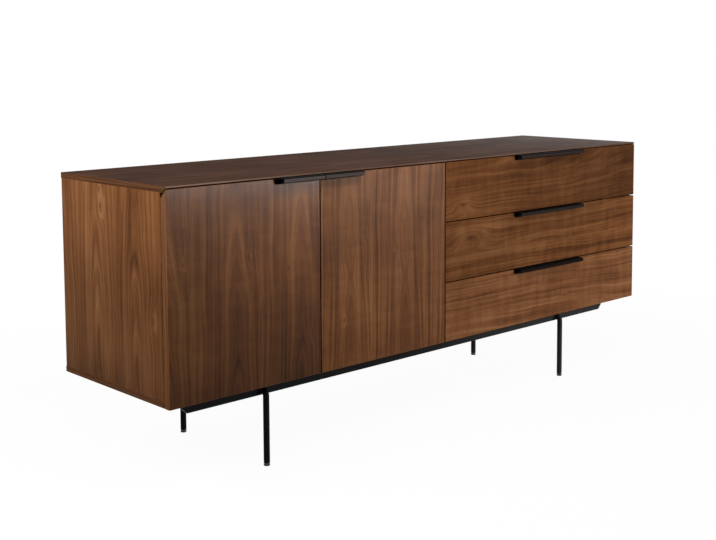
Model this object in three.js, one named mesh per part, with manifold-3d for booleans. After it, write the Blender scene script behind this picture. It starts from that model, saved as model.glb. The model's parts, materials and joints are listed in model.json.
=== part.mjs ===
// Office credenza: a walnut veneered case with two doors and three drawers, on a black steel underframe.
// Millimetres, +Z up, front towards -Y. The origin is on the floor under the middle of the overall box.
import * as THREE from 'three';
import { mergeVertices } from 'three/addons/utils/BufferGeometryUtils.js';
import Module from 'manifold-3d';

// Case
const caseWidth = 1600;
const caseDepth = 410;
const caseHeight = 448;
const floorClearance = 192;
const topThickness = 13;
const topLip = 3;
const bottomThickness = 13;
const sideThickness = 18;
const sideShortfall = 2;
const dividerThickness = 18;
const backThickness = 8;
const backSetIn = 4;
const edgeEase = 0.6;
const endEase = 0.3;

// Shelf in the cupboard
const shelfThickness = 16;
const shelfHeight = 216;
const shelfSetBack = 40;
const shelfSideGap = 0.8;
const cleatWidth = 12;
const cleatHeight = 16;

// Fronts: two doors on the left, three drawer fronts on the right
const doorWidth = 399;
const frontThickness = 18;
const frontGap = 3;
const frontStandOff = 2;

// Handles: bent sheet pulls let into notches in the top edges of the fronts
const handleReach = 20;
const handleSheet = 2.5;
const handleBend = 1.2;
const handleLip = 9;
const handleFootDepth = 9;
const handleWebShortfall = 8;
const notchDepth = 12;
const doorHandleLength = 115;
const doorNotchSpare = 12;
const drawerHandleLength = 266;
const drawerNotchSpare = 5;

// Concealed hinges
const hingeInset = 90;
const cupDiameter = 35;
const cupDepth = 11;
const cupEdgeDistance = 22;
const cupPlateHeight = 60;
const cupPlateWidth = 16;
const hingeArmWidth = 12;
const hingeArmHeight = 16;
const hingeArmLength = 62;
const hingeBaseHeight = 46;
const hingeBaseDepth = 26;
const hingeBaseThickness = 3;
const hingeBaseSetBack = 30;

// Drawer boxes and their runners
const boxRise = 22;
const boxTopDrop = 18;
const boxRearGap = 28;
const boxWall = 12;
const boxBackDrop = 10;
const boxBottomThickness = 6;
const boxBottomRise = 8;
const grooveDepth = 5;
const runnerSpace = 13;
const runnerHeight = 36;
const runnerSheet = 1.5;
const runnerFlange = 11;
const runnerRise = 45;

// Underframe
const legDiameter = 14;
const legWall = 1.5;
const legBendRadius = 12;
const legEndInset = 280;
const legFaceInset = 46;
const barDrop = 25;
const railHeight = 36;
const railThickness = 12;
const railWall = 1.5;
const railEndInset = 70;
const railEndCut = 12;
const footHeight = 3.5;
const collarHeight = 3;
const collarDiameter = 12.5;
const footStemLength = 14;

// Clearances
const seat = 0.1;
const slip = 0.3;
const running = 0.4;
const overrun = 5;

// Finishes
const walnut = { color: 0x6d452c, roughness: 0.5, metalness: 0 };
const darkWalnut = { color: 0x4b2f24, roughness: 0.42, metalness: 0 };
const birch = { color: 0xc9a878, roughness: 0.6, metalness: 0 };
const blackSteel = { color: 0x17181a, roughness: 0.45, metalness: 0.7 };
const zincSteel = { color: 0xa9adb2, roughness: 0.35, metalness: 0.9 };
const blackPlastic = { color: 0x1c1c1d, roughness: 0.6, metalness: 0 };

// Shared places, measured from the left end, the front plane and the underside of the case
const caseFront = frontThickness + frontStandOff;
const sideBack = caseDepth - sideShortfall;
const backFront = sideBack - backSetIn - backThickness;
const insideLow = bottomThickness;
const insideHigh = caseHeight - topThickness;
const insideLeft = sideThickness;
const insideRight = caseWidth - sideThickness;
const rightDoorLeft = doorWidth + frontGap;
const rightDoorRight = rightDoorLeft + doorWidth;
const drawersLeft = rightDoorRight + frontGap;
const dividerMiddle = (rightDoorRight + drawersLeft) / 2;
const dividerLeft = dividerMiddle - dividerThickness / 2;
const dividerRight = dividerMiddle + dividerThickness / 2;
const frontsHigh = caseHeight - topLip - frontGap;
const drawerNames = ['bottom', 'middle', 'top'];
const drawerCount = drawerNames.length;
const drawerFrontHeight = (frontsHigh - (drawerCount - 1) * frontGap) / drawerCount;
const overallDepth = caseDepth + handleReach;

const credenza = new THREE.Group();
const cabinet = new THREE.Group();
cabinet.position.set(-caseWidth / 2, handleReach - overallDepth / 2, floorClearance);
const underframe = new THREE.Group();
underframe.position.set(-caseWidth / 2, handleReach - overallDepth / 2, 0);
credenza.add(cabinet, underframe);

// Geometry helpers

const wasm = await Module();
wasm.setup();

function solidOf(geometry) {
  const bare = geometry.clone();
  bare.deleteAttribute('normal');
  bare.deleteAttribute('uv');
  const welded = mergeVertices(bare);
  return new wasm.Manifold(new wasm.Mesh({
    numProp: 3,
    vertProperties: new Float32Array(welded.attributes.position.array),
    triVerts: new Uint32Array(welded.index.array),
  }));
}

function geometryOf(solid) {
  const mesh = solid.getMesh();
  const geometry = new THREE.BufferGeometry();
  geometry.setAttribute('position', new THREE.BufferAttribute(mesh.vertProperties, 3));
  geometry.setIndex(new THREE.BufferAttribute(mesh.triVerts, 1));
  const faceted = geometry.toNonIndexed();
  faceted.computeVertexNormals();
  return faceted;
}

function cut(body, tools) {
  return geometryOf(tools.reduce((left, tool) => left.subtract(solidOf(tool)), solidOf(body)));
}

function join(first, second) {
  return geometryOf(solidOf(first).add(solidOf(second)));
}

// A closed outline through corners [u, v, radius]; a corner with a radius is eased or rounded by it
function outline(corners) {
  const points = corners.map(([u, v]) => new THREE.Vector2(u, v));
  const shape = new THREE.Shape();
  points.forEach((corner, i) => {
    const radius = corners[i][2] ?? 0;
    const before = points.at(i - 1);
    const after = points[(i + 1) % points.length];
    const start = before.clone().sub(corner).setLength(radius).add(corner);
    const end = after.clone().sub(corner).setLength(radius).add(corner);
    if (i === 0) shape.moveTo(start.x, start.y);
    else shape.lineTo(start.x, start.y);
    if (radius > 0) shape.quadraticCurveTo(corner.x, corner.y, end.x, end.y);
  });
  shape.closePath();
  return shape;
}

function rectangle(u0, v0, u1, v1, ease) {
  return outline([[u0, v0, ease], [u1, v0, ease], [u1, v1, ease], [u0, v1, ease]]);
}

// Along x the profile is drawn in (y, z), along y in (z, x), along z in (x, y)
const alongX = new THREE.Vector3(1, 0, 0);
const alongY = new THREE.Vector3(0, 1, 0);
const alongZ = new THREE.Vector3(0, 0, 1);
const profilePlanes = {
  x: new THREE.Matrix4().makeBasis(alongY, alongZ, alongX),
  y: new THREE.Matrix4().makeBasis(alongZ, alongX, alongY),
  z: new THREE.Matrix4().makeBasis(alongX, alongY, alongZ),
};

function extruded(axis, shape, from, to, ease = 0, cornerSteps = 1) {
  const geometry = new THREE.ExtrudeGeometry(shape, {
    depth: to - from - 2 * ease,
    curveSegments: cornerSteps,
    bevelEnabled: ease > 0,
    bevelThickness: ease,
    bevelSize: ease,
    bevelOffset: -ease,
    bevelSegments: 1,
  });
  geometry.translate(0, 0, from + ease);
  return geometry.applyMatrix4(profilePlanes[axis]);
}

// A board between two corners, with all its edges eased
function board([x0, y0, z0], [x1, y1, z1]) {
  return extruded('z', rectangle(x0, y0, x1, y1, edgeEase), z0, z1, edgeEase);
}

function block([x0, y0, z0], [x1, y1, z1]) {
  return new THREE.BoxGeometry(x1 - x0, y1 - y0, z1 - z0)
    .translate((x0 + x1) / 2, (y0 + y1) / 2, (z0 + z1) / 2);
}

// A round bar along y
function dowel(diameter, x, z, y0, y1, sides = 32) {
  return new THREE.CylinderGeometry(diameter / 2, diameter / 2, y1 - y0, sides)
    .translate(x, (y0 + y1) / 2, z);
}

function piece(parent, name, finish, geometry) {
  const mesh = new THREE.Mesh(geometry, new THREE.MeshStandardMaterial(finish));
  mesh.name = name;
  parent.add(mesh);
}

// Case: the top and bottom run over the ends of the side panels
function buildCase() {
  const undercut = topThickness - topLip;
  const topProfile = outline([
    [0, caseHeight - topLip, endEase],
    [undercut, insideHigh],
    [caseDepth, insideHigh, edgeEase],
    [caseDepth, caseHeight, edgeEase],
    [0, caseHeight, edgeEase],
  ]);
  piece(cabinet, 'top_panel', darkWalnut, extruded('x', topProfile, 0, caseWidth, endEase));
  piece(cabinet, 'bottom_panel', walnut,
    board([0, caseFront, 0], [caseWidth, caseDepth, bottomThickness]));
  const low = insideLow + seat;
  const high = insideHigh - seat;
  piece(cabinet, 'left_side_panel', walnut, board([0, caseFront, low], [sideThickness, sideBack, high]));
  piece(cabinet, 'right_side_panel', walnut,
    board([insideRight, caseFront, low], [caseWidth, sideBack, high]));
  piece(cabinet, 'centre_divider', walnut,
    board([dividerLeft, caseFront, low], [dividerRight, backFront - seat, high]));
  piece(cabinet, 'back_panel', walnut,
    board([insideLeft + seat, backFront, low], [insideRight - seat, backFront + backThickness, high]));
}

// Cupboard shelf, lying on a cleat at each end
function buildShelf() {
  const shelfFront = caseFront + shelfSetBack;
  const shelfBack = backFront - seat;
  piece(cabinet, 'shelf', walnut, board(
    [insideLeft + shelfSideGap, shelfFront, shelfHeight],
    [dividerLeft - shelfSideGap, shelfBack, shelfHeight + shelfThickness]));
  const cleatHigh = shelfHeight - seat;
  const cleatLow = cleatHigh - cleatHeight;
  piece(cabinet, 'left_shelf_cleat', walnut, board(
    [insideLeft + seat, shelfFront, cleatLow],
    [insideLeft + seat + cleatWidth, shelfBack, cleatHigh]));
  piece(cabinet, 'right_shelf_cleat', walnut, board(
    [dividerLeft - seat - cleatWidth, shelfFront, cleatLow],
    [dividerLeft - seat, shelfBack, cleatHigh]));
}

// A front panel; a mitred one falls away at 45 degrees behind its top edge, to follow the top panel
function frontPanel(x0, x1, low, high, mitred) {
  const backHigh = mitred ? high - frontThickness : high;
  const profile = outline([
    [0, low, edgeEase],
    [frontThickness, low, edgeEase],
    [frontThickness, backHigh, edgeEase],
    [0, high, edgeEase],
  ]);
  return extruded('x', profile, x0, x1, endEase);
}

function handleNotch(x0, x1, high) {
  return block([x0, -overrun, high - notchDepth], [x1, frontThickness + overrun, high + overrun]);
}

// A pull of bent sheet: a foot on the notch floor, a web flush with the face of the front, a plate that
// reaches forward in the middle of the gap above the front, and a lip turned down
function handle(x0, x1, frontHigh) {
  const inner = handleBend;
  const outer = handleBend + handleSheet;
  const footLow = frontHigh - notchDepth + seat;
  const plateHigh = frontHigh + frontGap / 2;
  const plateLow = plateHigh - handleSheet;
  const lipLow = plateHigh - handleLip;
  const lipBack = handleSheet - handleReach;
  const profile = outline([
    [handleFootDepth, footLow],
    [handleFootDepth, footLow + handleSheet],
    [handleSheet, footLow + handleSheet, inner],
    [handleSheet, plateHigh, outer],
    [-handleReach, plateHigh, outer],
    [-handleReach, lipLow],
    [lipBack, lipLow],
    [lipBack, plateLow, inner],
    [0, plateLow, inner],
    [0, footLow, outer],
  ]);
  const bendSteps = 4;
  const endCut = (end0, end1) => block(
    [end0, -inner, footLow - overrun],
    [end1, handleFootDepth + overrun, plateHigh + overrun]);
  return cut(extruded('x', profile, x0, x1, 0, bendSteps), [
    endCut(x0 - overrun, x0 + handleWebShortfall),
    endCut(x1 - handleWebShortfall, x1 + overrun),
  ]);
}

// A door: inward is +1 where the case wall that carries it is on its left, and -1 on its right
function buildDoor(name, x0, inward, wallFace) {
  const x1 = x0 + doorWidth;
  const hingeEdge = inward > 0 ? x0 : x1;
  const freeEdge = inward > 0 ? x1 : x0;
  const handleFar = freeEdge - inward * doorHandleLength;
  const notchFar = handleFar - inward * doorNotchSpare;
  const notchOut = freeEdge + inward * overrun;
  const cupX = hingeEdge + inward * cupEdgeDistance;
  const cupHeights = { lower: hingeInset, upper: frontsHigh - hingeInset };
  const bores = Object.values(cupHeights).map((z) => dowel(
    cupDiameter + 2 * slip, cupX, z, frontThickness - cupDepth - slip, frontThickness + overrun));
  const notch = handleNotch(Math.min(notchFar, notchOut), Math.max(notchFar, notchOut), frontsHigh);
  piece(cabinet, name, walnut, cut(frontPanel(x0, x1, 0, frontsHigh, true), [notch, ...bores]));
  piece(cabinet, `${name}_handle`, blackSteel,
    handle(Math.min(handleFar, freeEdge), Math.max(handleFar, freeEdge), frontsHigh));
  for (const [level, z] of Object.entries(cupHeights)) {
    piece(cabinet, `${name}_${level}_hinge_cup`, zincSteel, hingeCup(cupX, z));
    piece(cabinet, `${name}_${level}_hinge_arm`, zincSteel, hingeArm(wallFace, inward, z));
  }
}

function hingeCup(x, z) {
  const plateBack = caseFront - running;
  const plate = block(
    [x - cupPlateWidth / 2, frontThickness + seat, z - cupPlateHeight / 2],
    [x + cupPlateWidth / 2, plateBack, z + cupPlateHeight / 2]);
  return join(dowel(cupDiameter, x, z, frontThickness - cupDepth, plateBack), plate);
}

function hingeArm(wallFace, inward, z) {
  const near = wallFace + inward * seat;
  const armFar = near + inward * hingeArmWidth;
  const baseFar = near + inward * hingeBaseThickness;
  const baseFront = caseFront + hingeBaseSetBack;
  const arm = block(
    [Math.min(near, armFar), caseFront, z - hingeArmHeight / 2],
    [Math.max(near, armFar), caseFront + hingeArmLength, z + hingeArmHeight / 2]);
  const base = block(
    [Math.min(near, baseFar), baseFront, z - hingeBaseHeight / 2],
    [Math.max(near, baseFar), baseFront + hingeBaseDepth, z + hingeBaseHeight / 2]);
  return join(arm, base);
}

// A C channel along y that stands on the plane x and opens towards the given direction
function channel(x, direction, middle, height, flange, y0, y1) {
  const low = middle - height / 2;
  const high = middle + height / 2;
  const web = x + direction * runnerSheet;
  const lip = x + direction * flange;
  return extruded('y', outline([
    [low, x], [high, x], [high, lip], [high - runnerSheet, lip],
    [high - runnerSheet, web], [low + runnerSheet, web], [low + runnerSheet, lip], [low, lip],
  ]), y0, y1);
}

// A drawer: its front, a box of four boards, a pull, and a runner on each side
function buildDrawer(level) {
  const name = `${drawerNames[level]}_drawer`;
  const frontLow = level * (drawerFrontHeight + frontGap);
  const frontHigh = frontLow + drawerFrontHeight;
  const mitred = level === drawerCount - 1;
  const frontMiddle = (drawersLeft + caseWidth) / 2;
  const handleLeft = frontMiddle - drawerHandleLength / 2;
  const handleRight = frontMiddle + drawerHandleLength / 2;
  piece(cabinet, `${name}_front`, walnut, cut(
    frontPanel(drawersLeft, caseWidth, frontLow, frontHigh, mitred),
    [handleNotch(handleLeft - drawerNotchSpare, handleRight + drawerNotchSpare, frontHigh)]));
  piece(cabinet, `${name}_handle`, blackSteel, handle(handleLeft, handleRight, frontHigh));

  const boxLeft = dividerRight + runnerSpace;
  const boxRight = insideRight - runnerSpace;
  const boxFront = frontThickness + seat;
  const boxBack = backFront - boxRearGap;
  const boxLow = frontLow + boxRise;
  const boxHigh = frontHigh - boxTopDrop;
  const bottomLow = boxLow + boxBottomRise;
  const bottomHigh = bottomLow + boxBottomThickness;
  const walls = { left: [boxLeft, 1, dividerRight], right: [boxRight, -1, insideRight] };
  for (const [side, [outside, inward, wallFace]] of Object.entries(walls)) {
    const inside = outside + inward * boxWall;
    const grooveFloor = inside - inward * grooveDepth;
    const profile = outline([
      [boxLow, outside, edgeEase], [boxHigh, outside, edgeEase], [boxHigh, inside, edgeEase],
      [bottomHigh + seat, inside], [bottomHigh + seat, grooveFloor],
      [bottomLow - seat, grooveFloor], [bottomLow - seat, inside], [boxLow, inside, edgeEase],
    ]);
    piece(cabinet, `${name}_${side}_side`, birch, extruded('y', profile, boxFront, boxBack));
    const middle = boxLow + runnerRise;
    const innerHeight = runnerHeight - 2 * (runnerSheet + running);
    const innerFlange = runnerSpace - runnerSheet - running - 2 * seat;
    piece(cabinet, `${name}_${side}_case_runner`, zincSteel, channel(
      wallFace + inward * seat, inward, middle, runnerHeight, runnerFlange,
      caseFront, boxBack));
    piece(cabinet, `${name}_${side}_runner`, zincSteel, channel(
      outside - inward * seat, -inward, middle, innerHeight, innerFlange,
      caseFront, boxBack));
  }
  const grooveLeft = boxLeft + boxWall - grooveDepth;
  const grooveRight = boxRight - boxWall + grooveDepth;
  piece(cabinet, `${name}_bottom`, birch, block(
    [grooveLeft + seat, boxFront, bottomLow], [grooveRight - seat, boxBack, bottomHigh]));
  piece(cabinet, `${name}_back`, birch, block(
    [boxLeft + boxWall + seat, boxBack - boxWall, bottomHigh + seat],
    [boxRight - boxWall - seat, boxBack, boxHigh - boxBackDrop]));
}

// A tube path of straight runs and quarter bends, with one step along a run and several round a bend
class BentPath extends THREE.Curve {
  constructor(stations) {
    super();
    this.stations = stations;
  }

  nearest(t) {
    return this.stations[Math.round(t * (this.stations.length - 1))];
  }

  getPoint(t, target = new THREE.Vector3()) {
    return target.copy(this.nearest(t).point);
  }

  getPointAt(t, target) {
    return this.getPoint(t, target);
  }

  getTangentAt(t, target = new THREE.Vector3()) {
    return target.copy(this.nearest(t).tangent);
  }
}

// A pair of legs and the bar between them, bent from one tube in the plane x
function legFrame(x) {
  const tubeLow = footHeight + collarHeight + seat;
  const barHeight = floorClearance - barDrop;
  const bendHeight = barHeight - legBendRadius;
  const front = legFaceInset;
  const rear = caseDepth - legFaceInset;
  const bendSteps = 6;
  const stations = [];
  const station = (y, z, heading) => stations.push({
    point: new THREE.Vector3(x, y, z),
    tangent: new THREE.Vector3(0, Math.cos(heading), Math.sin(heading)),
  });
  const bend = (centreY, startHeading) => {
    for (let step = 0; step <= bendSteps; step += 1) {
      const heading = startHeading - (Math.PI / 2) * (step / bendSteps);
      const y = centreY - legBendRadius * Math.sin(heading);
      station(y, bendHeight + legBendRadius * Math.cos(heading), heading);
    }
  };
  station(front, tubeLow, Math.PI / 2);
  bend(front + legBendRadius, Math.PI / 2);
  bend(rear - legBendRadius, 0);
  station(rear, tubeLow, -Math.PI / 2);
  const section = new THREE.Shape();
  section.absarc(0, 0, legDiameter / 2, 0, 2 * Math.PI);
  const bore = new THREE.Path();
  bore.absarc(0, 0, legDiameter / 2 - legWall, 0, 2 * Math.PI);
  section.holes.push(bore);
  return new THREE.ExtrudeGeometry(section, {
    steps: stations.length - 1,
    curveSegments: 8,
    extrudePath: new BentPath(stations),
  });
}

// A long box-section rail under the case, with the leg bars passing through it. Its ends are closed, and
// their lower corners are cut off at 45 degrees.
function rail(y0) {
  const y1 = y0 + railThickness;
  const body = (wall, ease) => {
    const low = floorClearance - railHeight + wall;
    const high = floorClearance - seat - wall;
    const left = railEndInset + wall;
    const right = caseWidth - railEndInset - wall;
    return extruded('y', outline([
      [low, left + railEndCut, ease], [low + railEndCut, left, ease], [high, left, ease],
      [high, right, ease], [low + railEndCut, right, ease], [low, right - railEndCut, ease],
    ]), y0 + wall, y1 - wall, ease);
  };
  const barHoles = [legEndInset, caseWidth - legEndInset].map((x) => dowel(
    legDiameter + 2 * slip, x, floorClearance - barDrop, y0 - overrun, y1 + overrun, 24));
  return cut(body(0, edgeEase), [body(railWall, 0), ...barHoles]);
}

// A levelling foot: a glide on the floor, a collar, and a stem up the bore of the leg
function foot(x, y) {
  const collarHigh = footHeight + collarHeight;
  const stemRadius = legDiameter / 2 - legWall - slip;
  const profile = [
    [0, 0],
    [legDiameter / 2 - edgeEase, 0],
    [legDiameter / 2, edgeEase],
    [legDiameter / 2, footHeight],
    [collarDiameter / 2, footHeight],
    [collarDiameter / 2, collarHigh],
    [stemRadius, collarHigh],
    [stemRadius, collarHigh + footStemLength],
    [0, collarHigh + footStemLength],
  ].map(([radius, height]) => new THREE.Vector2(radius, height));
  return new THREE.LatheGeometry(profile, 24).rotateX(Math.PI / 2).translate(x, y, 0);
}

function buildUnderframe() {
  const railFront = legFaceInset + legBendRadius;
  piece(underframe, 'front_rail', blackSteel, rail(railFront));
  piece(underframe, 'rear_rail', blackSteel, rail(caseDepth - railFront - railThickness));
  const ends = { left: legEndInset, right: caseWidth - legEndInset };
  const faces = { front: legFaceInset, rear: caseDepth - legFaceInset };
  for (const [end, x] of Object.entries(ends)) {
    piece(underframe, `${end}_leg_frame`, blackSteel, legFrame(x));
    for (const [face, y] of Object.entries(faces)) {
      piece(underframe, `${face}_${end}_foot`, blackPlastic, foot(x, y));
    }
  }
}

buildCase();
buildShelf();
buildDoor('left_door', 0, 1, insideLeft);
buildDoor('right_door', rightDoorLeft, -1, dividerLeft);
drawerNames.forEach((_, level) => buildDrawer(level));
buildUnderframe();

export default credenza;
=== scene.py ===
import json
import math
import bmesh
import bpy
from mathutils import Matrix, Vector


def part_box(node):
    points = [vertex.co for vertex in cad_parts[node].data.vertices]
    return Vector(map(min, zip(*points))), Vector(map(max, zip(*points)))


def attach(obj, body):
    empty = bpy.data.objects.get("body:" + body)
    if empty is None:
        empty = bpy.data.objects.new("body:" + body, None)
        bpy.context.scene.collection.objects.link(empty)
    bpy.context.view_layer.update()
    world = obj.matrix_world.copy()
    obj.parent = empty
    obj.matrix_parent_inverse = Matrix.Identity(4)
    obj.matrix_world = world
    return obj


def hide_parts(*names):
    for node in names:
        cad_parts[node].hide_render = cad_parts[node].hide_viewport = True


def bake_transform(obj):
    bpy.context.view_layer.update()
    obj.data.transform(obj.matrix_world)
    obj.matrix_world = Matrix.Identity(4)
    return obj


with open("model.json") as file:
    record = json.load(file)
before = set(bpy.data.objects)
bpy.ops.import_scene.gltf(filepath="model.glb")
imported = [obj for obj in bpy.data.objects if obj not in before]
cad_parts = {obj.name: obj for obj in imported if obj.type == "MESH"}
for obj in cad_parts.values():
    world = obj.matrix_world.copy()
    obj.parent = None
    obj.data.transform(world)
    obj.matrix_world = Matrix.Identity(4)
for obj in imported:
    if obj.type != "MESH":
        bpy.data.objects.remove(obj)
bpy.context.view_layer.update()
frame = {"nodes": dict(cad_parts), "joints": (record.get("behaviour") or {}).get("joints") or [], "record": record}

MM = 0.001
X, Y, Z = 0, 1, 2
LOW, HIGH = 0, 1
BLACK = (0, 0, 0)


def corners(node):
    """The lowest and highest corner of a CAD node, in millimetres"""
    return [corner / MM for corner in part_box(node)]


# Shader maths

class Field:
    """A value that changes over a surface. Arithmetic on it adds Math nodes to its finish."""

    def __init__(self, finish, socket):
        self.finish = finish
        self.socket = socket

    def maths(self, operation, *terms):
        return self.finish.node("ShaderNodeMath", {"operation": operation}, dict(enumerate(terms)))

    def __add__(self, other):
        return self.maths("ADD", self, other)

    def __radd__(self, other):
        return self.maths("ADD", other, self)

    def __sub__(self, other):
        return self.maths("SUBTRACT", self, other)

    def __rsub__(self, other):
        return self.maths("SUBTRACT", other, self)

    def __mul__(self, other):
        return self.maths("MULTIPLY", self, other)

    def __rmul__(self, other):
        return self.maths("MULTIPLY", other, self)

    def __truediv__(self, other):
        return self.maths("DIVIDE", self, other)

    def __rtruediv__(self, other):
        return self.maths("DIVIDE", other, self)

    def __abs__(self):
        return self.maths("ABSOLUTE", self)

    def __floor__(self):
        return self.maths("FLOOR", self)

    def least(self, other):
        return self.maths("MINIMUM", self, other)

    def most(self, other):
        return self.maths("MAXIMUM", self, other)

    def fraction(self):
        return self.maths("FRACT", self)

    def root(self):
        return self.maths("SQRT", self)

    def squared(self):
        return self.maths("MULTIPLY", self, self)

    def bell(self):
        """e to the power of minus this value"""
        return self.maths("EXPONENT", -1 * self)

    def step(self, low, high):
        """0 at low, 1 at high, with a smooth rise between"""
        return self.finish.node(
            "ShaderNodeMapRange", {"interpolation_type": "SMOOTHSTEP"},
            {"Value": self, "From Min": low, "From Max": high})


class Finish:
    """One material, built node by node."""

    def __init__(self, name):
        self.material = bpy.data.materials.new(name)
        self.material.use_nodes = True
        self.tree = self.material.node_tree
        self.tree.nodes.clear()

    def node(self, kind, settings=None, inputs=None, output=0):
        made = self.tree.nodes.new(kind)
        for setting, value in (settings or {}).items():
            if setting == "stops":
                self.set_stops(made.color_ramp, value)
            else:
                setattr(made, setting, value)
        for key, value in (inputs or {}).items():
            if isinstance(value, Field):
                self.tree.links.new(value.socket, made.inputs[key])
            else:
                made.inputs[key].default_value = value
        return Field(self, made.outputs[output]) if made.outputs else None

    @staticmethod
    def set_stops(ramp, stops):
        while len(ramp.elements) < len(stops):
            ramp.elements.new(1)
        for element, (position, colour) in zip(ramp.elements, stops):
            element.position = position
            element.color = (*colour, 1)

    def place(self):
        """Where a point lies in the part's frame at rest, in millimetres"""
        point = self.node("ShaderNodeTexCoord", output="Object")
        split = [self.node("ShaderNodeSeparateXYZ", None, {0: point}, axis) for axis in (X, Y, Z)]
        return [along / MM for along in split]

    def noise(self, x, y=0.0, z=0.0, detail=2.0, roughness=0.5):
        """Smooth noise from 0 to 1, about one unit of x, y and z from swell to swell"""
        vector = self.node("ShaderNodeCombineXYZ", None, {0: x, 1: y, 2: z})
        return self.node(
            "ShaderNodeTexNoise", None,
            {"Vector": vector, "Scale": 1.0, "Detail": detail, "Roughness": roughness})

    def clouds(self, point, sizes, detail=2.0, shift=0.0):
        """Smooth noise from 0 to 1, with swells of these sizes along x, y and z in millimetres"""
        x, y, z = (along / size for along, size in zip(point, sizes))
        return self.noise(x, y, z + shift, detail)

    def chance(self, number):
        """A fixed random value from 0 to 1 for each whole number"""
        return self.node("ShaderNodeTexWhiteNoise", {"noise_dimensions": "1D"}, {"W": number})

    def ramp(self, value, stops):
        return self.node("ShaderNodeValToRGB", {"stops": stops}, {0: value})

    def mix(self, share, first, second):
        """first where share is 0, second where it is 1"""
        colours = [c if isinstance(c, Field) else (*c, 1) for c in (first, second)]
        return self.node(
            "ShaderNodeMix", {"data_type": "RGBA"}, {0: share, 6: colours[0], 7: colours[1]}, 2)

    def bump(self, height, depth):
        """Surface relief; height 1 stands this depth in millimetres above height 0"""
        return self.node("ShaderNodeBump", None, {"Distance": depth * MM, "Height": height})

    def surface(self, **sockets):
        shader = self.node("ShaderNodeBsdfPrincipled", None, {
            name.replace("_", " ").title().replace("Ior", "IOR"): value for name, value in sockets.items()})
        self.node("ShaderNodeOutputMaterial", None, {0: shader})
        return self.material


# Boards

BAND_DEPTH = (0.3, 0.5)


class Board:
    """A board as its finish sees it: where on it a point lies, in millimetres"""

    def __init__(self, finish, node):
        self.finish = finish
        self.point = finish.place()
        self.low, self.high = corners(node)
        self.size = self.high - self.low

    def nearness(self, axis, end):
        """1 at this end of the board, 0 at the other"""
        other_end = (self.high, self.low)[end]
        return abs(self.point[axis] - other_end[axis]) / self.size[axis]

    def on_face(self, axis, end):
        """1 on this face of the board and as deep as an edge band goes, 0 below that"""
        face = (self.low, self.high)[end]
        return 1 - abs(self.point[axis] - face[axis]).step(*BAND_DEPTH)

    def edge_distance(self):
        """Distance from the nearest edge of the board's box: the middle one of those from its faces"""
        a, b, c = ((p - low).least(high - p) for p, low, high in zip(self.point, self.low, self.high))
        return a.least(b).most(a.most(b).least(c))

    def darkened(self, colour, falls):
        """The colour, darker by each fall's share towards the fall's end of the board, as painted shade where a
        fall stands for light falling off
        """
        for axis, end, share in falls:
            colour = self.finish.mix(self.nearness(axis, end) * share, colour, BLACK)
        return colour


# Walnut veneer

WALNUT = {"dark": (0.060, 0.020, 0.0065), "middle": (0.150, 0.055, 0.0175), "light": (0.262, 0.112, 0.043)}
WALNUT_STOPS = {"dark": 0.22, "middle": 0.50, "light": 0.80}
EDGE_SATIN = 0.7
ROLL_SEED = 3.7

# How far the leaves lean through the thickness of a board
LEAF_LEAN = 0.6

# How much the figure changes from one leaf to the next
DRIFT_CHANGE = 0.12
ROLL_CHANGE = 0.1
STRIPE_CHANGE = 0.08

# Sizes in millimetres. A width and a length are those of a swell across and along the grain.
DRIFT_WIDTH, DRIFT_LENGTH = 75, 270
ROLL_LENGTH = 190
ROLL_DEPTH = 34
HEART_DEPTH = 14
BROAD_WIDTH, BROAD_LENGTH = 8, 620
LINE_WIDTH, LINE_LENGTH = 2.4, 260
FIBRE_WIDTH, FIBRE_LENGTH = 0.8, 45
STRIPE_WIDTH, STRIPE_LENGTH = 20, 1500
WAVE_WIDTH, WAVE_LENGTH = 70, 24
PORE_WIDTH, PORE_LENGTH = 0.34, 7
BAND_WIDTH, BAND_LENGTH = 2.2, 240
SAPWOOD_WIDTH = 16
CLOUD_SIZES = (170, 170, 170)
RUB_SIZES = (14, 14, 14)
SMEAR_SIZES = (130, 130, 130)
WORN_EDGE = (0.3, 1.1)
VENEER_RELIEF = 0.05

# A knot's length and how far it pushes the rings aside, in shares of its size, and how fast its core fades
KNOT_LENGTH = 2.2
KNOT_PUSH = 1.6
KNOT_FADE = 0.6


def toned(tone):
    """The walnut colours times one share, or times one share each for red, green and blue"""
    shares = tone if isinstance(tone, tuple) else (tone, tone, tone)
    return {
        name: tuple(share * channel for share, channel in zip(shares, colour))
        for name, colour in WALNUT.items()}


def walnut_ramp(finish, shade, tone):
    return finish.ramp(shade, [(WALNUT_STOPS[name], colour) for name, colour in toned(tone).items()])


def laid_in_leaves(board, across, along, leaf, seed, offset, slip):
    """A leaf's number, and where a point lies in it: across from its middle, and along"""
    edge_axis = X + Y + Z - across - along
    lead = board.point[across] + board.point[edge_axis] * LEAF_LEAN + offset
    number = math.floor(lead / leaf)
    u = lead - (number + 0.5) * leaf
    v = board.point[along] - board.low[along] + board.finish.chance(number + seed) * slip
    return number, u, v


def knot_marks(board, across, along, knots):
    """How far knots push the growth rings aside, and how strongly their halos and their cores show"""
    push = 0.0
    halo = 0.0
    core = 0.0
    for knot_across, knot_along, size in knots:
        near = (((board.point[across] - knot_across) / size).squared()
                + ((board.point[along] - knot_along) / (size * KNOT_LENGTH)).squared())
        swell = near.bell()
        push = push + swell * size * KNOT_PUSH
        halo = halo + swell
        core = core + (near * size * KNOT_FADE).bell()
    return push, halo, core


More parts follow.
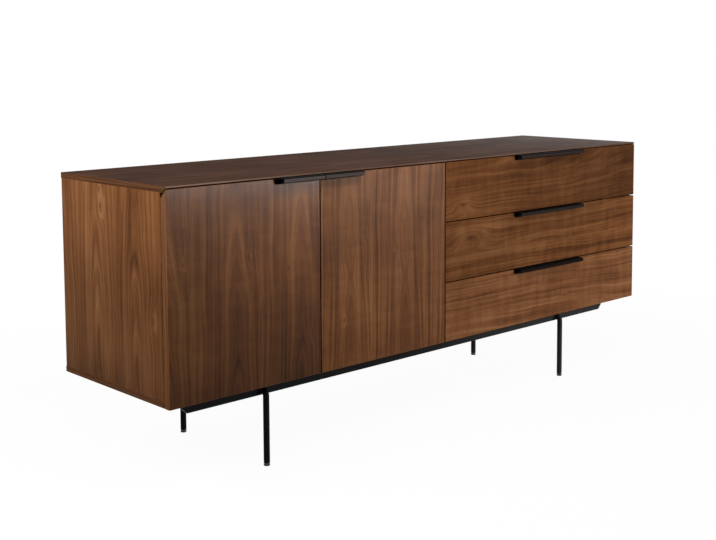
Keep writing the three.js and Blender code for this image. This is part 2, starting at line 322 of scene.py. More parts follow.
def edge_banded(board, wood, lips):
    """The wood with edge bands over it, and a value that is 1 on the bands"""
    banded = 0.0
    for axis, end, tone, falls in lips:
        face = board.on_face(axis, end)
        sizes = [BAND_WIDTH, BAND_WIDTH, BAND_WIDTH]
        sizes[max({X, Y, Z} - {axis}, key=lambda way: board.size[way])] = BAND_LENGTH
        streaks = board.finish.clouds(board.point, sizes, detail=3.0)
        band = board.darkened(walnut_ramp(board.finish, streaks, tone), falls)
        wood = board.finish.mix(face, wood, band)
        banded = face + banded
    return wood, banded


def walnut(node, across, along, leaf, seed, tone=1.0, offset=0.0, slip=50.0, heart=0.0, rise=0.05,
           wander=10.0, contrast=0.72, ripple=0.12, falls=(), knots=(), lips=(), gloss=0.03, satin=0.46,
           shine=None):
    """Lacquered veneer laid in leaves, each repeating the figure of the one before with a small slip.

    across and along are the axes that run across and along the grain. leaf is the width of a leaf, and
    offset shifts the joints between leaves. slip is the most that a leaf lies shifted along the grain,
    heart how far the figure lies off the leaf's middle, rise how fast the cut climbs through the growth
    rings, and wander how far they sway. ripple is how strongly waves across the grain show. A fall is
    (axis, end, share): the wood gets darker by that share towards that end of the board, as painted
    shade where it stands for light falling off. A knot is its place across, its place along and its
    size. A lip is (axis, end, tone, falls): that face has an edge band, whose grain runs along it. shine
    is (axis, end, share): the lacquer gets smoother by that share towards that end.
    """
    finish = Finish(f"walnut veneer {node}")
    board = Board(finish, node)
    number, u, v = laid_in_leaves(board, across, along, leaf, seed, offset, slip)
    push, halo, core = knot_marks(board, across, along, knots)

    drift = finish.noise(u / DRIFT_WIDTH, v / DRIFT_LENGTH, number * DRIFT_CHANGE + seed) - 0.5
    roll = finish.noise(v / ROLL_LENGTH, number * ROLL_CHANGE + seed, ROLL_SEED, detail=1.0) - 0.5
    grain = u - heart + drift * wander * 2
    depth = HEART_DEPTH + v * rise + roll * ROLL_DEPTH
    ring = (grain.squared() + depth.squared()).root() + push

    # Each layer of the figure has a seed of its own
    broad = finish.noise(ring / BROAD_WIDTH, v / BROAD_LENGTH, seed + 0.5, roughness=0.55) - 0.5
    lines = finish.noise(ring / LINE_WIDTH, v / LINE_LENGTH, seed + 1.5, detail=3.0, roughness=0.6) - 0.5
    fibre = finish.noise(grain / FIBRE_WIDTH, v / FIBRE_LENGTH, seed + 2.5, roughness=0.6) - 0.5
    waves = finish.noise(v / WAVE_LENGTH, u / WAVE_WIDTH, seed + 3.5, detail=3.0, roughness=0.6) - 0.5
    pores = finish.noise(grain / PORE_WIDTH, v / PORE_LENGTH, seed + 4.5, detail=1.0).step(0.60, 0.74)
    stripe = finish.noise(u / STRIPE_WIDTH, number * STRIPE_CHANGE + seed, v / STRIPE_LENGTH) - 0.5
    cloud = finish.clouds(board.point, CLOUD_SIZES, detail=1.0, shift=seed) - 0.5
    sapwood = abs(u).step(leaf / 2 - SAPWOOD_WIDTH, leaf / 2) * (stripe + 0.7)
    figure = (broad * 1.1 + lines * 0.7 + fibre * 0.35 + stripe * 0.65 + cloud * 0.65 + sapwood * 0.2
              + waves * ripple)

    colours = toned(tone)
    wood = walnut_ramp(finish, 0.5 + contrast * (figure + halo * 0.22), tone)
    wood, banded = edge_banded(board, board.darkened(wood, falls), lips)
    wood = finish.mix(pores * 0.25, wood, colours["dark"])
    wood = finish.mix(core * 0.8, wood, colours["dark"])
    rub = finish.clouds(board.point, RUB_SIZES, detail=3.0)
    worn = (1 - board.edge_distance().step(*WORN_EDGE)) * rub.step(0.35, 0.65)
    wood = finish.mix(worn * 0.3, wood, colours["light"])

    smear = finish.clouds(board.point, SMEAR_SIZES, detail=3.0) - 0.5
    roughness = satin + banded * (EDGE_SATIN - satin) + smear * 0.12 + pores * 0.14 + worn * 0.1
    if shine:
        axis, end, share = shine
        roughness = roughness * (1 - board.nearness(axis, end).squared() * share)
    relief = finish.bump(lines * 0.5 + fibre * 0.5 - pores * 1.2, VENEER_RELIEF)
    return finish.surface(
        base_color=wood, roughness=roughness, normal=relief, specular_ior_level=gloss)


# Plain finishes

BIRCH = [(0.3, (0.50, 0.33, 0.17)), (0.55, (0.66, 0.47, 0.27)), (0.75, (0.74, 0.56, 0.35))]
BIRCH_FLECK = (0.36, 0.20, 0.09)
BIRCH_WIDTH, BIRCH_LENGTH, BIRCH_SEED = 5, 260, 2.0
FLECK_WIDTH, FLECK_LENGTH, FLECK_SEED = 0.6, 9, 5.0
BIRCH_RELIEF = 0.04
PLY_THICKNESS = 1.5
GLUE = (0.22, 0.12, 0.05)
UPPER_EDGE = (-0.5, -0.2)

PEEL_SIZES = (0.7, 0.7, 0.7)
PEEL_RELIEF = 0.03
COAT_SIZES = (60, 60, 60)
DUST_SIZES = (2.5, 2.5, 2.5)
DUST = (0.02, 0.0195, 0.019)
# How deep the painted sheen on a pull's front face reaches
LIP_SHEEN_DEPTH = (0.1, 0.8)

ZINC = [(0.3, (0.46, 0.48, 0.51)), (0.6, (0.59, 0.61, 0.63)), (0.8, (0.64, 0.63, 0.59))]
BLOOM_SIZES = (14, 30, 14)
DRAWN_SIZES = (1.2, 60, 1.2)
DRAWN_RELIEF = 0.003

PLASTIC = (0.010, 0.010, 0.0105)
SCUFFED_PLASTIC = (0.035, 0.034, 0.032)
COLLAR_STEEL = (0.05, 0.05, 0.05)
COLLAR_BEGINS = (3.4, 3.6)
GRIT_SIZES = (0.5, 0.5, 0.5)
GRIT_RELIEF = 0.02
SCUFF_SIZES = (3, 3, 1.2)


def birch(node):
    """Birch plywood with its glue lines showing on the upper edges"""
    finish = Finish(f"birch plywood {node}")
    board = Board(finish, node)
    long = max((X, Y), key=lambda axis: board.size[axis])
    thin = X + Y - long
    along = board.point[long]
    across = board.point[thin] + board.point[Z]
    grain = finish.noise(along / BIRCH_LENGTH, across / BIRCH_WIDTH, BIRCH_SEED, 4.0, 0.6)
    fleck = finish.noise(along / FLECK_LENGTH, across / FLECK_WIDTH, FLECK_SEED, 1.0).step(0.62, 0.75)
    wood = finish.mix(fleck * 0.25, finish.ramp(grain, BIRCH), BIRCH_FLECK)
    ply = ((board.point[thin] - board.low[thin]) / PLY_THICKNESS).fraction()
    glue_line = abs(ply - 0.5).step(0.36, 0.5)
    upper = (board.point[Z] - board.high[Z]).step(*UPPER_EDGE)
    wood = finish.mix(upper * glue_line * 0.6, wood, GLUE)
    return finish.surface(
        base_color=wood, roughness=0.5 + fleck * 0.15 + (grain - 0.5) * 0.2,
        normal=finish.bump(grain - fleck * 0.5, BIRCH_RELIEF), specular_ior_level=0.3)


def black_steel(name, shade, gloss, lip=None, painted_light=None):
    """Fine textured black powder coat with a little dust.

    lip is a pull's front plane and the colour of a painted sheen on that face. The next argument gives
    where along x a painted light on the coat begins, where it is full, and the coat's shade there.
    """
    finish = Finish(name)
    point = finish.place()
    peel = finish.clouds(point, PEEL_SIZES)
    cloud = finish.clouds(point, COAT_SIZES, detail=3.0)
    dust = finish.clouds(point, DUST_SIZES, detail=3.0).step(0.62, 0.8)
    thin, thick = ((share * shade,) * 3 for share in (1.2, 0.8))
    coat = finish.ramp(cloud, [(0.3, thick), (0.7, thin)])
    # Painted sheen: the pull's front face gets a paler colour
    if lip:
        plane, lip_sheen = lip
        lip_sheen_mask = (1 - (point[Y] - plane).step(*LIP_SHEEN_DEPTH)) * (0.85 + cloud * 0.3)
        coat = finish.mix(lip_sheen_mask, coat, lip_sheen)
    # Painted light: the coat gets paler towards one end along x
    if painted_light:
        begins, full, lit_shade = painted_light
        coat = finish.mix(point[X].step(begins, full) * (0.7 + cloud * 0.6), coat, (lit_shade, lit_shade, lit_shade))
    coat = finish.mix(dust * 0.25, coat, DUST)
    return finish.surface(
        base_color=coat, roughness=0.5 + (cloud - 0.5) * 0.18 + dust * 0.1,
        normal=finish.bump(peel, PEEL_RELIEF), specular_ior_level=gloss)


def zinc_steel():
    """Bright zinc plate with faint drawing marks and a dull bloom"""
    finish = Finish("bright zinc plate")
    point = finish.place()
    bloom = finish.clouds(point, BLOOM_SIZES)
    drawn = finish.clouds(point, DRAWN_SIZES)
    return finish.surface(
        base_color=finish.ramp(bloom, ZINC), metallic=1.0,
        roughness=0.34 + (bloom - 0.5) * 0.16 + (drawn - 0.5) * 0.12,
        normal=finish.bump(drawn, DRAWN_RELIEF))


def foot_plastic():
    """Moulded glide with a dull steel collar between it and the leg"""
    finish = Finish("foot plastic and collar")
    point = finish.place()
    grit = finish.clouds(point, GRIT_SIZES)
    scuff = finish.clouds(point, SCUFF_SIZES, detail=3.0).step(0.5, 0.75)
    glide = finish.mix(scuff * 0.5, PLASTIC, SCUFFED_PLASTIC)
    collar = point[Z].step(*COLLAR_BEGINS)
    return finish.surface(
        base_color=finish.mix(collar, glide, COLLAR_STEEL), metallic=collar,
        roughness=0.55 - collar * 0.15 + (grit - 0.5) * 0.2, normal=finish.bump(grit, GRIT_RELIEF))


def paint(node, material):
    for slot in frame["nodes"][node].material_slots:
        slot.material = material


def veneer(node, **figure):
    paint(node, walnut(node, **figure))


# The case and its fronts

END_TONE = (0.57, 0.63, 0.83)
# Painted highlight: the pale grey tone of the top's front edge band
FRONT_EDGE_PAINTED_HIGHLIGHT = (1.35, 2.2, 4.8)
BAND_TONE = 1.05
# Painted shade: edge bands that face a narrow gap are given this dark tone
GAP_PAINTED_SHADE = 0.2
# Painted shade: edge bands get darker towards the bottom
BAND_PAINTED_SHADE_FALLS = ((Z, LOW, 0.3),)
END_LIPS = ((X, LOW, END_TONE, ()), (X, HIGH, END_TONE, ()))
# The painted highlight on the top's front edge fades towards the right end
TOP_LIPS = END_LIPS + ((Y, LOW, FRONT_EDGE_PAINTED_HIGHLIGHT, ((X, HIGH, 0.45),)),)


def bands(*gap_ends):
    """Edge bands round a front, painted dark as the shade at those ends along x that face a narrow gap"""
    tones = {(X, end): GAP_PAINTED_SHADE for end in gap_ends}
    return tuple(
        (axis, end, tones.get((axis, end), BAND_TONE), BAND_PAINTED_SHADE_FALLS)
        for axis in (X, Z) for end in (LOW, HIGH))


panel_veneer = {"across": Y, "along": X, "leaf": 205}
# The top's tone leans to blue, a painted sheen in its colour; its fall, darker towards the left end, is painted
# shade
veneer("top_panel", **panel_veneer, seed=2.3, tone=(0.33, 0.34, 0.5), lips=TOP_LIPS,
       falls=((X, LOW, 0.32),), gloss=0.012, satin=0.66, shine=(X, HIGH, 0.42))
veneer("bottom_panel", **panel_veneer, seed=2.9, tone=0.7, lips=END_LIPS)

# The sides' falls, darker towards the bottom and towards the back, are painted shade
side_veneer = {
    "across": Y, "along": Z, "leaf": 150, "tone": (1.26, 1.3, 1.37), "contrast": 0.74, "gloss": 0.022,
    "falls": ((Z, LOW, 0.45), (Y, HIGH, 0.12))}
veneer("left_side_panel", **side_veneer, seed=3.1, offset=35,
       knots=[(51, 580, 13), (56, 616, 9), (-142, 363, 15)])
veneer("right_side_panel", **side_veneer, seed=5.3, offset=80, knots=[(-40, 470, 12)])

veneer("centre_divider", across=Y, along=Z, leaf=140, seed=6.7)
veneer("back_panel", across=X, along=Z, leaf=175, seed=8.9, offset=40)
veneer("shelf", across=Y, along=X, leaf=190, seed=9.1)
veneer("left_shelf_cleat", across=Z, along=Y, leaf=60, seed=9.5)
veneer("right_shelf_cleat", across=Z, along=Y, leaf=60, seed=9.9)

door_veneer = {"across": X, "along": Z, "leaf": 175, "ripple": 0.35, "satin": 0.32}
# The doors' falls towards the bottom are painted shade
veneer("left_door", **door_veneer, seed=1.7, tone=(0.96, 0.89, 0.76), offset=-14, heart=28,
       falls=((Z, LOW, 0.56), (X, LOW, 0.18)), lips=bands(HIGH), gloss=0.065, shine=(Z, HIGH, 0.55),
       knots=[(-763, 480, 7), (-596, 476, 8), (-492, 438, 6), (-423, 285, 6)])
veneer("right_door", **door_veneer, seed=1.9, tone=1.02, offset=12, heart=20,
       falls=((Z, LOW, 0.16),), lips=bands(LOW, HIGH), gloss=0.045,
       knots=[(-266, 492, 8), (-165, 446, 7), (-330, 300, 6)])

drawer_veneer = {
    "across": Z, "along": X, "leaf": 470, "seed": 4.3, "offset": 190, "wander": 14, "rise": 0.07, "slip": 0,
    "contrast": 0.58, "ripple": 0.6, "lips": bands(LOW), "gloss": 0.014,
    "knots": [(440, 95, 26), (525, 68, 18), (586, 474, 7), (243, 479, 7), (292, 382, 6)]}
drawer_looks = {
    "bottom": {"tone": (1.22, 1.3, 1.55)},
    "middle": {"tone": 1.05, "falls": ((X, LOW, 0.2),)},
    "top": {"tone": (0.94, 0.91, 0.84), "falls": ((X, HIGH, 0.48),)},
}
for level, look in drawer_looks.items():
    veneer(f"{level}_drawer_front", **drawer_veneer, **look)
    for board in ("left_side", "right_side", "back", "bottom"):
        paint(f"{level}_drawer_{board}", birch(f"{level}_drawer_{board}"))


# Metal and plastic

FRAME_SHADE, FRAME_GLOSS = 0.0035, 0.04
# Painted light on the frame: paler towards the right end, where the lamps light it more
FRAME_PAINTED_LIGHT = (-200, 500, 0.028)
PULL_SHADE, PULL_GLOSS = 0.003, 0.008

frame_black = black_steel("black powder coat of the frame", FRAME_SHADE, FRAME_GLOSS, painted_light=FRAME_PAINTED_LIGHT)
zinc = zinc_steel()
plain = {"black_steel": frame_black, "zinc_steel": zinc, "black_plastic": foot_plastic()}
for subpart in frame["record"]["subparts"]:
    if subpart["material_slot"] in plain:
        paint(subpart["node"], plain[subpart["material_slot"]])

# The colour of the painted sheen on each pull's front face: pale and warm on the doors' pulls, darker down the
# drawers
pull_lip_sheens = {
    "left_door": (0.075, 0.061, 0.056),
    "right_door": (0.066, 0.052, 0.047),
    "top_drawer": (0.028, 0.020, 0.019),
    "middle_drawer": (0.019, 0.0155, 0.014),
    "bottom_drawer": (0.009, 0.0055, 0.004),
}
for front, lip_sheen in pull_lip_sheens.items():
    lip_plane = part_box(f"{front}_handle")[0].y / MM
    paint(f"{front}_handle", black_steel(
        f"black powder coat {front}_handle", PULL_SHADE, PULL_GLOSS, (lip_plane, lip_sheen)))


# Small metalwork, drawn in millimetres

ROUND_SIDES = 24
CORNER_STEPS = 5
PLATE_EASE = 0.4
SHARP_ANGLE = 35

# A screw's head, in shares of its radius: how far out, and how far up
SCREW_HEAD = [(1.0, -0.1), (1.0, 0.16), (0.88, 0.42), (0.66, 0.56)]
SCREW_RECESS = [(0.5, 0.6), (0.34, 0.25)]
RECESS_WAIST = 0.4


def round_ring(place, axis, radius, height, sides=ROUND_SIDES, share=None):
    """Points round an axis. share gives the radius's share at an angle, for a ring that isn't round."""
    axis = Vector(axis).normalized()
    side = axis.orthogonal().normalized()
    other = axis.cross(side)
    points = []
    for step in range(sides):
        turn = 2 * math.pi * step / sides
        reach = radius * (share(turn) if share else 1)
        outward = side * math.cos(turn) + other * math.sin(turn)
        points.append(Vector(place) + axis * height + outward * reach)
    return points


def slab_ring(middle, across, up, corner, steps=CORNER_STEPS):
    """Points round a rectangle with round corners. across and up reach from its middle to its sides."""
    points = []
    for quarter, (right, high) in enumerate(((1, 1), (-1, 1), (-1, -1), (1, -1))):
        centre = (middle + across * (right * (1 - corner / across.length))
                  + up * (high * (1 - corner / up.length)))
        for step in range(steps):
            turn = math.pi / 2 * (quarter + step / (steps - 1))
            points.append(
                centre + (across.normalized() * math.cos(turn) + up.normalized() * math.sin(turn)) * corner)
    return points


def cross_recess(turn):
    """A cross with four arms, narrow between them"""
    return RECESS_WAIST + (1 - RECESS_WAIST) * abs(math.cos(2 * turn)) ** 3


class Shape:
    """A mesh in the making"""

    def __init__(self):
        self.points = []
        self.faces = []

    def skin(self, rings, hollow=False):
        """A skin over rings of as many points each, capped, or if hollow joined from last to first"""
        first = len(self.points)
        count = len(rings[0])
        self.points += [point for ring in rings for point in ring]
        for level in range(len(rings) if hollow else len(rings) - 1):
            low = first + level * count
            high = first + (level + 1) % len(rings) * count
            for i in range(count):
                j = (i + 1) % count
                self.faces.append((low + i, low + j, high + j, high + i))
        if not hollow:
            self.faces.append(tuple(range(first, first + count)))
            self.faces.append(tuple(range(len(self.points) - count, len(self.points))))

    def turned(self, place, axis, profile, sides, share=None, hollow=False):
        """A body turned round an axis, from a profile of radius and height"""
        self.skin([round_ring(place, axis, *step, sides, share) for step in profile], hollow)

    def screw(self, place, axis, radius):
        """A pan head with a cross recess, standing on the place and pointing along the axis"""
        rings = [round_ring(place, axis, out * radius, up * radius) for out, up in SCREW_HEAD]
        rings += [
            round_ring(place, axis, out * radius, up * radius, share=cross_recess)
            for out, up in SCREW_RECESS]
        self.skin(rings)

    def plate(self, middle, across, up, out, corner):
        """A plate with round corners and an eased outer edge. out is its thickness, from its back."""
        middle, across, up, out = (Vector(way) for way in (middle, across, up, out))
        narrower = across * (1 - PLATE_EASE / across.length)
        shorter = up * (1 - PLATE_EASE / up.length)
        self.skin([
            slab_ring(middle, across, up, corner),
            slab_ring(middle + out * (1 - PLATE_EASE / out.length), across, up, corner),
            slab_ring(middle + out, narrower, shorter, corner - PLATE_EASE)])

    def made(self, name, slot, material):
        mesh = bpy.data.meshes.new(name)
        mesh.from_pydata([point * MM for point in self.points], [], self.faces)
        skin = bmesh.new()
        skin.from_mesh(mesh)
        bmesh.ops.recalc_face_normals(skin, faces=skin.faces)
        skin.to_mesh(mesh)
        skin.free()
        mesh.materials.append(material)
        mesh.shade_smooth()
        mesh.set_sharp_from_angle(angle=math.radians(SHARP_ANGLE))
        piece = bpy.data.objects.new(name, mesh)
        bpy.context.scene.collection.objects.link(piece)
        return piece


# Underframe: each pair of legs is one bent tube, welded where its bar passes through the rails

LEG_BEND = 12
LEG_WALL = 1.5
LEG_QUARTER_STEPS = 9
BEND_STEPS = 12
WELD_BEAD = [(6.8, 2.4), (7.5, 2.2), (8.4, 1.3), (9.1, 0.3), (9.2, -0.3), (6.8, -0.3)]
WELD_SIDES = 72
WELD_RIPPLES = 18
WELD_RIPPLE_SHARE = 0.02


def weld_ripple(turn):
    """A circle with slight ripples"""
    return 1 + WELD_RIPPLE_SHARE * math.cos(WELD_RIPPLES * turn)


def leg_frame(node):
    low, high = corners(node)
    radius = (high.x - low.x) / 2
    x = (low.x + high.x) / 2
    front, rear = low.y + radius, high.y - radius
    bar = high.z - radius
    stations = [(front, low.z, 90)]
    for centre, first in ((front + LEG_BEND, 90), (rear - LEG_BEND, 0)):
        for step in range(BEND_STEPS + 1):
            turn = first - 90 * step / BEND_STEPS
            heading = math.radians(turn)
            stations.append((
                centre - LEG_BEND * math.sin(heading),
                bar - LEG_BEND + LEG_BEND * math.cos(heading), turn))
    stations.append((rear, low.z, -90))

    def section(y, z, turn, reach):
        heading = math.radians(turn)
        return slab_ring(
            Vector((x, y, z)), Vector((reach, 0, 0)),
            Vector((0, -math.sin(heading), math.cos(heading))) * reach, reach, LEG_QUARTER_STEPS)

    outside = [section(*station, radius) for station in stations]
    bore = [section(*station, radius - LEG_WALL) for station in reversed(stations)]
    frame_shape = Shape()
    frame_shape.skin(outside + bore, hollow=True)
    for rail in ("front_rail", "rear_rail"):
        rail_low, rail_high = corners(rail)
        for face, way in ((rail_low.y, -1), (rail_high.y, 1)):
            frame_shape.turned((x, face, bar), (0, way, 0), WELD_BEAD, WELD_SIDES, weld_ripple, hollow=True)
    tube = frame_shape.made(f"{node}_tube", "black_steel", frame_black)
    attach(tube, "carcass")
    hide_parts(node)


for node in ("left_leg_frame", "right_leg_frame"):
    leg_frame(node)


# Concealed hinges: a cup in the door, an arm on the case wall and two links between them

# The cup's radius and height above its floor
CUP_PROFILE = [
    (15.8, 0.0), (17.1, 0.6), (17.5, 1.8), (17.5, 11.1), (19.0, 11.1), (19.0, 11.9), (18.6, 12.4),
    (15.2, 12.4), (14.6, 11.8), (14.2, 3.4), (13.2, 2.6)]
CUP_SIDES = 48

# The cup's wings, which are screwed to the door above and below it
WING_PLACE = 22.7
WING_HALF_WIDTH, WING_HALF_HEIGHT = 7, 7.3
WING_CORNER = 6.9
WING_SEAT = 0.1
WING_THICKNESS = 1.3
WING_SCREW_PLACE = 24
WING_SCREW_RADIUS = 3.2

# The arm's plates on the wall: half length, half height, thickness and corner
MOUNT_PLACE = 43
CROSS_THICKNESS = 2.8
MOUNT_PLATES = [(13, 10, 3.2, 3), (6.5, 23, CROSS_THICKNESS, 6.4)]
MOUNT_SCREW_PLACE = 17
MOUNT_SCREW_RADIUS = 3.4

# The arm's sections: along from its front end, off the wall, half width and half height
ARM_OFF_WALL, ARM_HALF_WIDTH = 6.8, 5.1
ARM_SECTIONS = [
    (0, 8.2, 3.6, 5.2), (3, 7.9, 4.1, 6.0), (14, 7.2, 4.6, 6.6), (26, ARM_OFF_WALL, ARM_HALF_WIDTH, 7.8),
    (60, ARM_OFF_WALL, ARM_HALF_WIDTH, 7.8), (62, ARM_OFF_WALL, 4.7, 7.2)]
ARM_CORNER = 1.6
ARM_SCREW_PLACE = 9
ARM_SCREW_RADIUS = 2.8

# The links: off the wall and half height, and how far in the arm they begin
LINKS = [(6.5, 4.6), (10.0, 3.0)]
LINK_LAP = 1.5
LINK_HALF_THICKNESS = 0.8
LINK_CORNER = 0.5
LINK_SWEEP = 16
LINK_STEPS = 24


def hinge_cup(door, level):
    node = f"{door}_{level}_hinge_cup"
    low, high = corners(node)
    middle = (low + high) / 2
    wing_back = corners(door)[HIGH].y + WING_SEAT
    wing_face = wing_back + WING_THICKNESS
    cup = Shape()
    cup.turned((middle.x, low.y, middle.z), (0, 1, 0), CUP_PROFILE, CUP_SIDES)
    for way in (-1, 1):
        cup.plate(
            (middle.x, wing_back, middle.z + way * WING_PLACE), (WING_HALF_WIDTH, 0, 0),
            (0, 0, WING_HALF_HEIGHT), (0, WING_THICKNESS, 0), WING_CORNER)
        cup.screw(
            (middle.x, wing_face, middle.z + way * WING_SCREW_PLACE), (0, 1, 0), WING_SCREW_RADIUS)
    pressed = cup.made(f"{node}_pressing", "zinc_steel", zinc)
    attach(pressed, door)
    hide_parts(node)


def hinge_arm(door, level, inward):
    """An arm on the case wall. It gives back where on the wall the arm's front end is."""
    node = f"{door}_{level}_hinge_arm"
    low, high = corners(node)
    wall = low.x if inward > 0 else high.x
    mount = low.y + MOUNT_PLACE
    z = (low.z + high.z) / 2
    arm = Shape()
    for half_length, half_height, thickness, corner in MOUNT_PLATES:
        arm.plate(
            (wall, mount, z), (0, half_length, 0), (0, 0, half_height), (inward * thickness, 0, 0), corner)
    arm.skin([
        slab_ring(
            Vector((wall + inward * off_wall, low.y + along, z)), Vector((half_width, 0, 0)),
            Vector((0, 0, half_height)), ARM_CORNER)
        for along, off_wall, half_width, half_height in ARM_SECTIONS])
    cross_face = wall + inward * CROSS_THICKNESS
    arm_face = wall + inward * (ARM_OFF_WALL + ARM_HALF_WIDTH)
    for way in (-1, 1):
        arm.screw((cross_face, mount, z + way * MOUNT_SCREW_PLACE), (inward, 0, 0), MOUNT_SCREW_RADIUS)
        arm.screw((arm_face, mount + way * ARM_SCREW_PLACE, z), (inward, 0, 0), ARM_SCREW_RADIUS)
    pressed = arm.made(f"{node}_pressing", "zinc_steel", zinc)
    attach(pressed, "carcass")
    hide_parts(node)
    return Vector((wall, low.y, z))


def hinge_links(door, level, inward, arm_front):
    """Two links round the hinge's axis, between the arm and the cup, drawn at rest; they don't follow the door"""
    hinge = next(joint for joint in frame["joints"] if joint["name"] == f"{door}_hinge")
    axis = Vector(hinge["pos_m"]) / MM
    links = Shape()
    for off_wall, half_height in LINKS:
        reach = Vector(((arm_front.x - axis.x) * inward + off_wall, arm_front.y + LINK_LAP - axis.y))
        first = math.degrees(math.atan2(reach.y, reach.x))
        rings = []
        for step in range(LINK_STEPS + 1):
            turn = math.radians(first - LINK_SWEEP * step / LINK_STEPS)
            way = Vector((inward * math.cos(turn), math.sin(turn), 0))
            middle = Vector((axis.x, axis.y, arm_front.z)) + way * reach.length
            rings.append(slab_ring(
                middle, way * LINK_HALF_THICKNESS, Vector((0, 0, half_height)), LINK_CORNER))
        links.skin(rings)
    strips = links.made(f"{door}_{level}_hinge_links", "zinc_steel", zinc)
    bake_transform(strips)


for door, inward in (("left_door", 1), ("right_door", -1)):
    for level in ("lower", "upper"):
        hinge_cup(door, level)
        hinge_links(door, level, inward, hinge_arm(door, level, inward))


# Screws

BACK_SCREW_INSET = 9
BACK_SCREWS_ALONG = 8
BACK_SCREWS_UP = 3
BACK_SCREW_RADIUS = 3.4

RUNNER_SHEET = 1.5
RUNNER_SCREW_INSET = 35
RUNNER_SCREWS = 3
RUNNER_SCREW_RADIUS = 3.2

# A pull: how far it stands above its front, the notch it is let into, and its sheet
PULL_RISE = 1.5
NOTCH_DEPTH = 12
NOTCH_SEAT = 0.1
PULL_SHEET = 2.5
PULL_SCREWS = {"door": 2, "drawer": 3}
PULL_SCREW_INSET = 22
PULL_SCREW_FROM_REAR = 3.2
PULL_SCREW_RADIUS = 2.5


def spread(first, last, count):
    return [first + (last - first) * step / (count - 1) for step in range(count)]


def back_screws():
    low, high = corners("back_panel")
    left, right = low.x + BACK_SCREW_INSET, high.x - BACK_SCREW_INSET
    bottom, top = low.z + BACK_SCREW_INSET, high.z - BACK_SCREW_INSET
    places = [(x, z) for x in spread(left, right, BACK_SCREWS_ALONG) for z in (bottom, top)]
    places += [(x, z) for x in (left, right) for z in spread(bottom, top, BACK_SCREWS_UP)[1:-1]]
    screws = Shape()
    for x, z in places:
        screws.screw((x, high.y, z), (0, 1, 0), BACK_SCREW_RADIUS)
    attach(screws.made("back_panel_screws", "zinc_steel", zinc), "carcass")


def runner_screws(level):
    """Screws through the runners on the case, on both sides of a drawer"""
    screws = Shape()
    for side, inward in (("left", 1), ("right", -1)):
        low, high = corners(f"{level}_drawer_{side}_case_runner")
        web = (low.x if inward > 0 else high.x) + inward * RUNNER_SHEET
        for y in spread(low.y + RUNNER_SCREW_INSET, high.y - RUNNER_SCREW_INSET, RUNNER_SCREWS):
            screws.screw((web, y, (low.z + high.z) / 2), (inward, 0, 0), RUNNER_SCREW_RADIUS)
    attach(screws.made(f"{level}_case_runner_screws", "zinc_steel", zinc), "carcass")


def pull_screws(front, count):
    """Screws down through the foot of a pull into the front"""
    low, high = corners(f"{front}_handle")
    foot_top = high.z - PULL_RISE - NOTCH_DEPTH + NOTCH_SEAT + PULL_SHEET
    screws = Shape()
    for x in spread(low.x + PULL_SCREW_INSET, high.x - PULL_SCREW_INSET, count):
        screws.screw((x, high.y - PULL_SCREW_FROM_REAR, foot_top), (0, 0, 1), PULL_SCREW_RADIUS)
    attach(screws.made(f"{front}_pull_screws", "black_steel", frame_black), front)


back_screws()
for level in drawer_looks:
    runner_screws(level)
for front in pull_lip_sheens:
    kind = front.split("_")[-1]
    pull_screws(front, PULL_SCREWS[kind])


# Studio, in metres

# Each softbox's place, aim, width and height, and power
SOFTBOXES = {
    "side_softbox": ((-2.1, 0.1, 1.6), (-0.8, 0.0, 0.4), (1.2, 0.8), 41),
    "upper_softbox": ((-0.5, -1.2, 1.8), (-0.5, -0.2, 0.4), (1.4, 0.6), 20),
    "right_softbox": ((1.9, -2.2, 0.9), (0.4, -0.2, 0.4), (1.4, 1.0), 25),
    "low_strip": ((1.8, -3.0, 0.32), (0.0, -0.2, 0.4), (1.9, 0.3), 38),
    "rear_fill": ((0.3, 2.6, 0.44), (0.0, 0.2, 0.44), (2.2, 0.3), 45),
    "right_fill": ((2.9, 0.7, 0.44), (0.8, 0.0, 0.44), (1.2, 0.3), 26),
}
ROOM_FILL = 0.1
FLOOR_REACH = 14.0
FLOOR_GLOW = 0.955
FLOOR_GREYS = ((0.78, 0.78, 0.78), (0.82, 0.82, 0.82))
FLOOR_BOUNCE = (0.12, 0.12, 0.12)

# The floor's finish is drawn in millimetres: where its glow begins to rise and where it is full
GLOW_RISE = (700, 2400)
PAPER_SIZE = 300


def softbox(name, place, aim, size, power):
    lamp = bpy.data.lights.new(name, "AREA")
    lamp.shape = "RECTANGLE"
    lamp.size, lamp.size_y = size
    lamp.energy = power
    box = bpy.data.objects.new(name, lamp)
    box.location = place
    box.rotation_euler = (Vector(aim) - Vector(place)).to_track_quat("-Z", "Y").to_euler()
    box.visible_camera = False
    bpy.context.scene.collection.objects.link(box)


def seen_directly(finish):
    """1 for what the camera sees, straight on or by way of a mirror or glass"""
    rays = ("Is Camera Ray", "Is Glossy Ray", "Is Transmission Ray")
    first, second, third = [finish.node("ShaderNodeLightPath", output=ray) for ray in rays]
    return first.most(second).most(third)


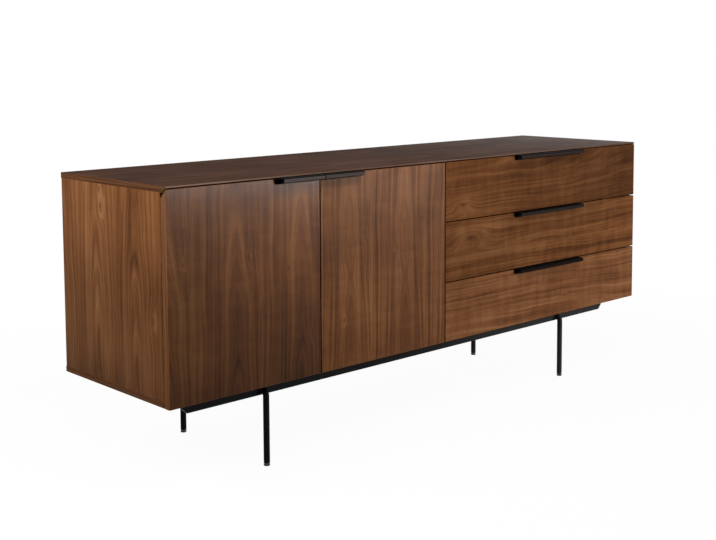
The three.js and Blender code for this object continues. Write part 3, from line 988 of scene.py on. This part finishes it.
def white_floor():
    """A floor that takes shadows, glows white to the camera and throws little light back up"""
    finish = Finish("pale studio floor")
    x, y, _ = finish.place()
    far = (x.squared() + y.squared()).root().step(*GLOW_RISE)
    paper = finish.noise(x / PAPER_SIZE, y / PAPER_SIZE)
    bounced = finish.node("ShaderNodeLightPath", output="Is Diffuse Ray")
    pale = finish.mix(paper, *FLOOR_GREYS)
    dull = finish.node("ShaderNodeBsdfDiffuse", None, {0: finish.mix(bounced, pale, FLOOR_BOUNCE)})
    white = finish.node("ShaderNodeEmission", None, {"Strength": 1.0})
    shown = seen_directly(finish) * (FLOOR_GLOW + far * (1 - FLOOR_GLOW))
    blend = finish.node("ShaderNodeMixShader", None, {0: shown, 1: dull, 2: white})
    finish.node("ShaderNodeOutputMaterial", None, {0: blend})
    finish.material.cycles.emission_sampling = "NONE"
    mesh = bpy.data.meshes.new("studio_floor")
    ways = ((-1, -1), (1, -1), (1, 1), (-1, 1))
    outline = [(right * FLOOR_REACH, back * FLOOR_REACH, 0) for right, back in ways]
    mesh.from_pydata(outline, [], [(0, 1, 2, 3)])
    mesh.materials.append(finish.material)
    floor = bpy.data.objects.new("studio_floor", mesh)
    bpy.context.scene.collection.objects.link(floor)


class Surroundings(Finish):
    """The world's own nodes"""

    def __init__(self, name):
        self.world = bpy.data.worlds.new(name)
        self.world.use_nodes = True
        self.tree = self.world.node_tree
        self.tree.nodes.clear()


def white_room():
    room = Surroundings("studio room")
    strength = ROOM_FILL + seen_directly(room) * (1 - ROOM_FILL)
    light = room.node("ShaderNodeBackground", None, {0: (1, 1, 1, 1), 1: strength})
    room.node("ShaderNodeOutputWorld", None, {0: light})
    bpy.context.scene.world = room.world


for name, setting in SOFTBOXES.items():
    softbox(name, *setting)
white_floor()
white_room()


# Camera, in metres and degrees, with its lens in pixels of the photograph and its sensor in millimetres

PHOTO_WIDTH, PHOTO_HEIGHT = 716, 540
FOCAL_LENGTH = 1176.23
LENS_AXIS_ROW = 160
CAMERA_PLACE = (-2.0795, -2.1212, 0.8965)
CAMERA_TURN = 42.9637
CAMERA_TILT = 5.1575
CAMERA_ROLL = -0.2948
SENSOR_WIDTH = 36


def photo_camera():
    """The photograph's camera, with the lens axis above the middle of the picture"""
    turn, tilt, roll = (math.radians(angle) for angle in (CAMERA_TURN, CAMERA_TILT, CAMERA_ROLL))
    camera = bpy.data.cameras.new("photo_camera")
    camera.sensor_width = SENSOR_WIDTH
    camera.lens = FOCAL_LENGTH / PHOTO_WIDTH * SENSOR_WIDTH
    camera.shift_y = (LENS_AXIS_ROW - PHOTO_HEIGHT / 2) / PHOTO_WIDTH
    eye = bpy.data.objects.new("photo_camera", camera)
    eye.matrix_world = (
        Matrix.Translation(CAMERA_PLACE)
        @ Matrix.Rotation(-turn, 4, "Z")
        @ Matrix.Rotation(math.pi / 2 - tilt, 4, "X")
        @ Matrix.Rotation(roll, 4, "Z"))
    bpy.context.scene.collection.objects.link(eye)
    bpy.context.scene.camera = eye


photo_camera()
bpy.context.scene.view_settings.view_transform = "Standard"
